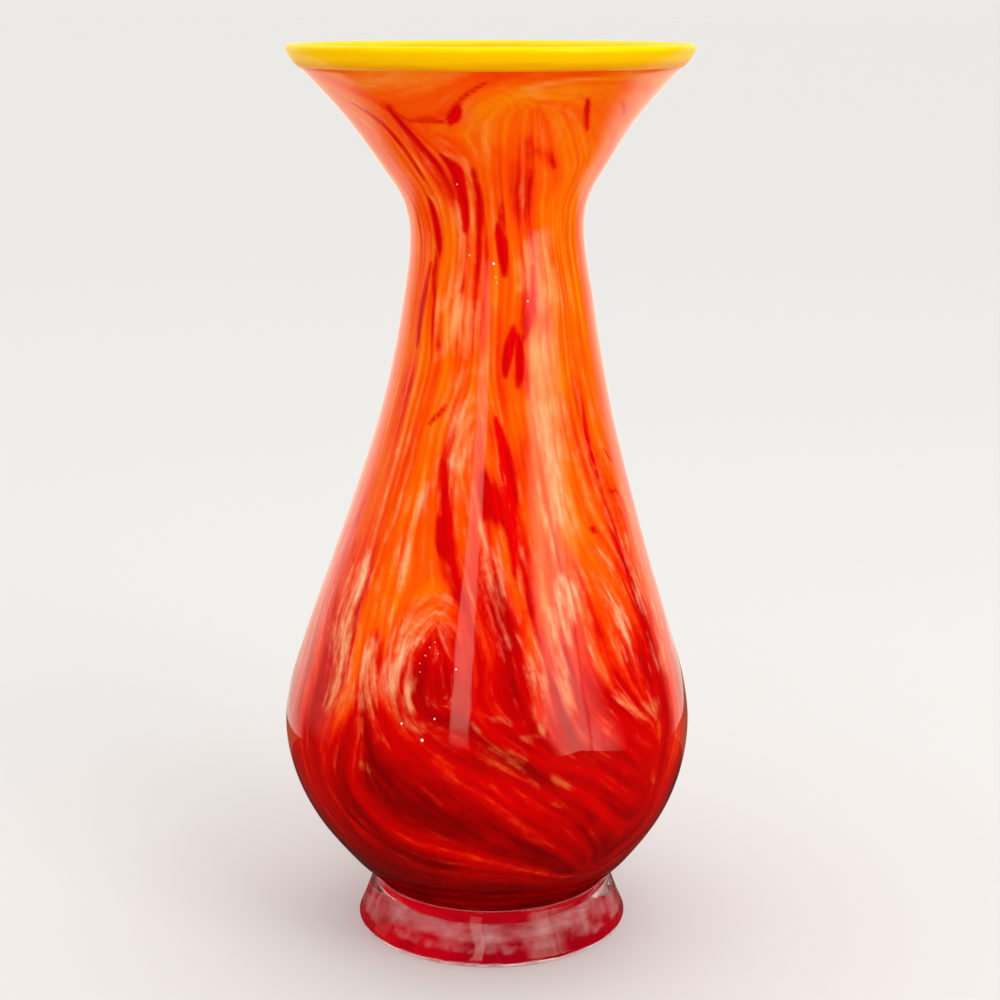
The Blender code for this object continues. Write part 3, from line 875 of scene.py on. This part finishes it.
def foot_painted_reflection(where):
    """Painted reflection: mottled on the middle of the side and along its sheared lower edge, clear between.
    """
    x, z = (where.part(i) * 1000 for i in (0, 2))
    blotch = where.noise(130.0, 4.0) - 0.5
    top = 15.8 + 6 * abs(x).between(28, 48) + blotch * 5
    side = (z - 5.8 + blotch * 5).between(0, 1.6) * (1 - (z - top).between(0, 1.2))
    edge = z.between(0.5, 1.0) * (1 - (z + blotch * 2).between(2.1, 2.8))
    return side * (blotch * 0.5 + 0.055).largest(0.0) + edge * (blotch * 1.2 + 0.42).largest(0.0)


casing_glass = clear_glass("casing_glass", (1.0, 1.0, 1.0), (1.0, 1.0, 1.0), None, 0.0003)
foot_glass = clear_glass(
    "foot_glass", (0.95, 0.76, 0.79), (0.95, 0.95, 0.95), foot_painted_reflection, 0.0016, (0.08, 0.0, 0.0)
)

# %% [markdown]
# ## The clear casing
# The outer gather gives the vase its depth and its shine. Here it is a sleeve that ends where the foot
# grips the body, because below that the foot's glass and the casing's have run together.

# %% Casing
CASING_ROWS = 150
CASING_COLUMNS = 192
JOINT_HEIGHT = foot_high.z
casing_outside = at_depth(CASING_ROWS, 0.0)
casing_inside = at_depth(CASING_ROWS, COLOUR_DEPTH + FUSED)


def above(section, height):
    """The part of a section above a height, starting exactly there."""
    start = np.array([[np.interp(height, section[:, 1], section[:, 0]), height]])
    return np.concatenate([start, section[section[:, 1] > height + 1e-4]])


sleeve = np.concatenate([above(casing_inside, JOINT_HEIGHT), above(casing_outside, JOINT_HEIGHT)[::-1]])
clear_casing = turned("clear_casing", sleeve, CASING_COLUMNS, ring=True)
clear_casing.data.materials.append(casing_glass)
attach(clear_casing, "root")
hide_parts("outer_casing")

# %% Inner gather
GATHER_ROWS = 90
gather_outside = at_depth(GATHER_ROWS, GATHER_DEPTH - SEAM - FUSED)
gather_inside = at_depth(GATHER_ROWS, GATHER_DEPTH + GATHER_WALL)
inner_bubble = turned("inner_bubble", np.concatenate([gather_inside, gather_outside[::-1]]), CASING_COLUMNS)
inner_bubble.data.materials.append(casing_glass)
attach(inner_bubble, "root")
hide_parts("inner_gather")

# %% [markdown]
# ## Seed bubbles
# Specks of air stay behind in hand-gathered glass. A texture could fake them, but they sit in the clear
# layer, above the colour, so each is a tiny ball at its own depth in the casing. Each is plain whitish, a
# painted glint for the light a speck catches, and the three on the neck stand in for a lamp's highlight.

# %% Seed bubbles
SEED_DEPTH = 0.0009
# degrees, height in millimetres, radius in millimetres
# the three on the neck, at 269 to 276 millimetres, are painted glints where a lamp's highlight shows
SEEDS = (
    (-24.0, 108, 0.45), (-14.5, 111, 0.40), (-17.5, 103, 0.60), (-9.5, 129, 0.35), (-18.5, 136, 0.22),
    (-19.5, 133, 0.25), (-21.0, 130, 0.20), (-17.0, 138, 0.20), (-20.5, 127, 0.18), (-15.5, 134, 0.18),
    (-2.5, 276, 0.55), (-1.2, 271, 0.28), (-0.7, 269, 0.22), (-18.0, 279, 0.30), (-20.0, 306, 0.30),
    (18.0, 262, 0.35), (150.0, 120, 0.45), (-165.0, 210, 0.40), (100.0, 150, 0.35), (-110.0, 95, 0.45),
)


def balls(centres, radii, rings=7, columns=12):
    """One ball of latitude rings and two poles, scaled by each radius and moved to each centre."""
    polar = np.linspace(0, math.pi, rings + 2)[1:-1, None]
    turn = np.linspace(0, 2 * math.pi, columns, endpoint=False)
    ring = [np.sin(polar) * np.cos(turn), np.sin(polar) * np.sin(turn), np.cos(polar) + 0 * turn]
    ball = np.concatenate([np.stack(ring, axis=-1).reshape(-1, 3), [[0, 0, 1], [0, 0, -1]]])
    places = centres[:, None] + radii[:, None, None] * ball
    starts = np.arange(len(centres))[:, None, None] * len(ball)
    quads, triangles = (faces + starts for faces in woven(rings, columns))
    return places.reshape(-1, 3), quads.reshape(-1, 4).tolist() + triangles.reshape(-1, 3).tolist()


seed_angle, seed_height, seed_radius = np.array(SEEDS).T
seed_angle, seed_height = np.radians(seed_angle), seed_height / 1000
seed_curve = at_depth(CASING_ROWS, SEED_DEPTH)
seed_distance = np.interp(seed_height, seed_curve[:, 1], seed_curve[:, 0])
seed_across = seed_distance * np.sin(seed_angle) + lean(seed_height)
seed_places = np.column_stack([seed_across, -seed_distance * np.cos(seed_angle), seed_height])
seed_bubbles = new_piece("seed_bubbles", *balls(seed_places, seed_radius / 1000))
# painted glint: a plain whitish diffuse, standing in for the light that a speck of air catches
PAINTED_GLINT_WHITE = (0.95, 0.90, 0.84, 1.0)
painted_glint_finish, _, _ = new_material("bubble_painted_glint", {"Base Color": PAINTED_GLINT_WHITE, "Roughness": 0.3})
seed_bubbles.data.materials.append(painted_glint_finish)
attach(seed_bubbles, "root")
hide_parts("outer_casing")

# %% [markdown]
# ## The lip wrap
# A thread of hot yellow glass is laid on the rim and melted in, so the bead is fat and rounded. Half a
# superellipse, turned round, gives it a squarer shoulder than half a circle would. Its yellow is faintly
# cloudy, and it is painted darker low down and lighter on top: painted shade under the bead, painted light
# on top.

# %% Lip
LIP_COLUMNS = 256
LIP_STEPS = 28
LIP_LENGTH = 0.0081
LIP_OVERHANG = 0.0003
LIP_SQUARENESS = 2.3
LIP_SINK = 0.0004  # how far its flat side sinks onto the glass edges
RIM_POINTS = 400  # of the outline, enough to show which way its end faces
# dark, middle and light yellow, painted shade low on the bead and painted light on top, and the heights
# in millimetres between which each turns into the next
SHADE_TO_LIGHT_YELLOWS = ((0.86, 0.34, 0.0), (1.0, 0.56, 0.0), (1.0, 0.74, 0.0))
SHADE_TO_LIGHT_HEIGHTS = ((348.0, 351.5), (353.5, 355.8))
WALL = GATHER_DEPTH + GATHER_WALL


def lip_section():
    """Half a superellipse across the end of the wall, listed with its outer side downwards."""
    normal = facing(evenly(OUTLINE, RIM_POINTS))[-1]
    tangent = np.array([-normal[1], normal[0]])
    seat = OUTLINE[-1] - normal * WALL / 2 - tangent * LIP_SINK
    turn = np.linspace(0, math.pi, LIP_STEPS)
    power = 2 / LIP_SQUARENESS
    across = np.sign(np.cos(turn)) * np.abs(np.cos(turn)) ** power * (WALL / 2 + LIP_OVERHANG)
    along = np.abs(np.sin(turn)) ** power * (LIP_LENGTH + LIP_SINK)
    return (seat + np.outer(across, normal) + np.outer(along, tangent))[::-1]


lip_bead = turned("lip_bead", lip_section(), LIP_COLUMNS, ring=True)
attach(lip_bead, "root")
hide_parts("lip_wrap")


def yellow_glass():
    constants = {"Roughness": 0.5, "IOR": 1.05, "Coat Weight": 0.35, "Coat Roughness": 0.0}
    material, tree, shader = new_material("yellow_glass", constants)
    where = object_place(tree)
    drawn = where.vector("MULTIPLY", where, (1.0, 1.0, 9.0))
    cloud = drawn.noise(45.0, 3.0)
    height = where.part(2) * 1000 + (cloud - 0.5) * 3
    # painted shade low on the bead, turning to painted light on its top
    colour = SHADE_TO_LIGHT_YELLOWS[0]
    for lighter, heights in zip(SHADE_TO_LIGHT_YELLOWS[1:], SHADE_TO_LIGHT_HEIGHTS):
        colour = painted(tree, colour, lighter, height.between(*heights))
    connect(tree, colour, shader.inputs["Base Color"])
    return material


lip_bead.data.materials.append(yellow_glass())

# %% [markdown]
# ## The foot
# A gather of clear glass is pressed under the body and sheared to a flared ring. Its underside is dished so
# that it stands on a flat ring, with a polished dimple where the pontil rod was broken off.

# %% Foot
FOOT_RADIUS = (foot_high.y - foot_low.y) / 2
FOOT_SHOULDER = 0.0008
FOOT_EDGE = 0.0028
FOOT_SWELL = 1.15
REST_WIDTH = 0.0130
HOLLOW_DEPTH = 0.0012
PONTIL_RADIUS = 0.0140
PONTIL_DEPTH = 0.0010
JOINT_GAP = 0.00003


def foot_section():
    """Cup, shoulder, side, lower edge, rest ring, dish and pontil dimple, from pole to pole.

    The side spreads with the power FOOT_SWELL of the way down.
    """
    seam = JOINT_HEIGHT - JOINT_GAP
    cup = casing_inside[casing_inside[:, 1] < seam - 1e-4]
    joint_inner, joint_outer = (
        np.interp(JOINT_HEIGHT, curve[:, 1], curve[:, 0]) for curve in (casing_inside, casing_outside)
    )
    top = [[joint_inner, seam], [joint_outer, seam]]
    turn = np.linspace(0, math.pi / 2, 10)
    shoulder = np.column_stack(
        [joint_outer + FOOT_SHOULDER * np.sin(turn), seam - FOOT_SHOULDER * (1 - np.cos(turn))]
    )
    edge = np.column_stack([FOOT_RADIUS - FOOT_EDGE * (1 - np.cos(turn)), FOOT_EDGE * (1 - np.sin(turn))])
    down = np.linspace(0, 1, 16)[1:-1]
    spread, drop = edge[0] - shoulder[-1]
    side = shoulder[-1] + np.column_stack([spread * down**FOOT_SWELL, drop * down])
    rest_inner = FOOT_RADIUS - FOOT_EDGE - REST_WIDTH
    ring = np.linspace(edge[-1, 0], rest_inner, 6)[1:]
    dish = np.linspace(rest_inner, PONTIL_RADIUS, 12)[1:]
    rise = HOLLOW_DEPTH * (1 - ((dish - PONTIL_RADIUS) / (rest_inner - PONTIL_RADIUS)) ** 2)
    dimple = np.linspace(PONTIL_RADIUS, 0, 8)[1:]
    depth = HOLLOW_DEPTH + PONTIL_DEPTH * (1 - (dimple / PONTIL_RADIUS) ** 2)
    under = [np.column_stack(part) for part in ((ring, 0 * ring), (dish, rise), (dimple, depth))]
    return np.concatenate([cup, top, shoulder, side, edge, *under])


clear_foot = turned("clear_foot", foot_section(), CASING_COLUMNS)
clear_foot.data.materials.append(foot_glass)
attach(clear_foot, "root")
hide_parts("foot")

# %% [markdown]
# ## The studio
# A pale sweep lies under the vase. What glass shows is mostly what stands around it, so the room is built
# for its reflections: bright walls behind on both sides, and on the camera's dim side a curtained window and
# a narrow strip of light. Mirror images alone see a table top: dark in front, and warm wood behind.

# %% Floor
def flat_sheet(name, corners, drop, colour):
    """A level sheet in one plain colour, a little below the foot."""
    places = np.array([(x, y, -drop) for x, y in corners])
    sheet = new_piece(name, places, [list(range(len(corners)))])
    material, _, _ = new_material(name, {"Base Color": (*colour, 1.0), "Roughness": 0.8})
    sheet.data.materials.append(material)
    return sheet


FLOOR_REACH = 60.0
FLOOR_DROP = 0.0004  # a little under the rest ring, so that the two faces don't share a plane
FLOOR_CORNERS = ((-1, -1), (1, -1), (1, 1), (-1, 1))
FLOOR_COLOUR = (0.80, 0.79, 0.77)
far_corners = [(FLOOR_REACH * x, FLOOR_REACH * y) for x, y in FLOOR_CORNERS]
floor = flat_sheet("floor", far_corners, FLOOR_DROP, FLOOR_COLOUR)
floor.visible_glossy = False

TABLES = (
    (
        "table_before_in_mirror",
        (0.035, 0.010, 0.004),
        ((-0.30, 0.16), (-1.17, -0.48), (-0.24, -1.78), (1.05, -0.83), (0.34, 0.16)),
    ),
    ("table_behind_in_mirror", (0.34, 0.15, 0.05), ((-0.30, 0.16), (0.34, 0.16), (0.12, 0.47))),
)
for name, colour, corners in TABLES:
    table = flat_sheet(name, corners, 2 * FLOOR_DROP, colour)
    for ray_kind in ("camera", "diffuse", "transmission", "shadow"):
        setattr(table, "visible_" + ray_kind, False)

# %% Room
def band(value, low, high, soft):
    """1 between low and high, fading over soft on either side."""
    return value.between(low - soft, low) * (1 - value.between(high, high + soft))


def room():
    """Nearly white, but mirror images see walls, a window and a strip of light round the room.

    Their places are in degrees: round from the camera's side towards the right, and up from level.
    """
    world = bpy.data.worlds.new("studio")
    bpy.context.scene.world = world
    world.use_nodes = True
    tree = world.node_tree
    tree.nodes.clear()
    toward = add_node(tree, "ShaderNodeTexCoord", None, 0)
    x, y, z = (toward.part(i) for i in range(3))
    azimuth = x.angle_from(0 - y)
    elevation = z.angle_from((1 - z * z) ** 0.5)
    above = elevation.between(-15, -4)
    leaning = azimuth - 12 * (1 - elevation.between(-12, 14))
    curtain = toward.noise(7.0, 2.0) * 1.4 + 0.3
    shape = leaning.between(27, 38) * (1 - leaning.between(52, 74))
    window = shape * above * curtain * 1.9 * (1 - 0.5 * band(azimuth, 58, 59.5, 0.8))
    right_wall = azimuth.between(122, 142) * elevation.between(-50, -30) * 1.1
    left_wall = (1 - azimuth.between(-142, -120)) * elevation.between(-50, -30) * 0.95
    left_glow = (1 - azimuth.between(-101, -96)) * above * 0.3
    lit = (elevation.between(8, 16) * 1.4 + 0.8) * (1 - elevation.between(17, 30) * 0.7)
    strip = band(azimuth, -19.5, -11, 2.0) * elevation.between(1, 5) * lit
    mirror = window + right_wall + left_wall + left_glow + strip + 0.02
    seen, direct = is_ray(tree, MIRRORED), is_ray(tree, DIRECT)
    strength = seen * mirror + (1 - seen) * (direct * BACKDROP + (1 - direct) * AMBIENT)
    colour = painted(tree, SKY_COLOUR, MIRROR_COLOUR, seen)
    colour = painted(tree, colour, BACKDROP_COLOUR, direct)
    background = add_node(tree, "ShaderNodeBackground", Color=colour, Strength=strength)
    output = tree.nodes.new("ShaderNodeOutputWorld")
    tree.links.new(background.socket, output.inputs["Surface"])


SKY_COLOUR, MIRROR_COLOUR = (1.0, 1.0, 1.0), (1.0, 0.92, 0.76)
BACKDROP_COLOUR = (1.0, 0.982, 0.944)
BACKDROP = 0.838  # how bright the far wall looks, the same as the floor's far end
AMBIENT = 1.05  # how much light comes from all round
room()
bpy.context.scene.view_settings.view_transform = "Standard"

# %% Lamp
LAMP_PLACE = (1.0, -1.1, 1.4)
LAMP_SIZE = 0.9
LAMP_POWER = 8.0
LAMP_AIM = (0, 0, 0.18)

lamp = bpy.data.lights.new("softbox_right", "AREA")
lamp.shape = "RECTANGLE"
lamp.size = lamp.size_y = LAMP_SIZE
lamp.energy = LAMP_POWER
softbox = bpy.data.objects.new("softbox_right", lamp)
softbox.location = LAMP_PLACE
aim = np.array(LAMP_AIM) - LAMP_PLACE
tilt = math.atan2(math.hypot(aim[0], aim[1]), -aim[2])
softbox.rotation_euler = (tilt, 0, math.atan2(aim[1], aim[0]) - math.pi / 2)
softbox.visible_glossy = False
bpy.context.scene.collection.objects.link(softbox)
print("softbox at", tuple(softbox.location))
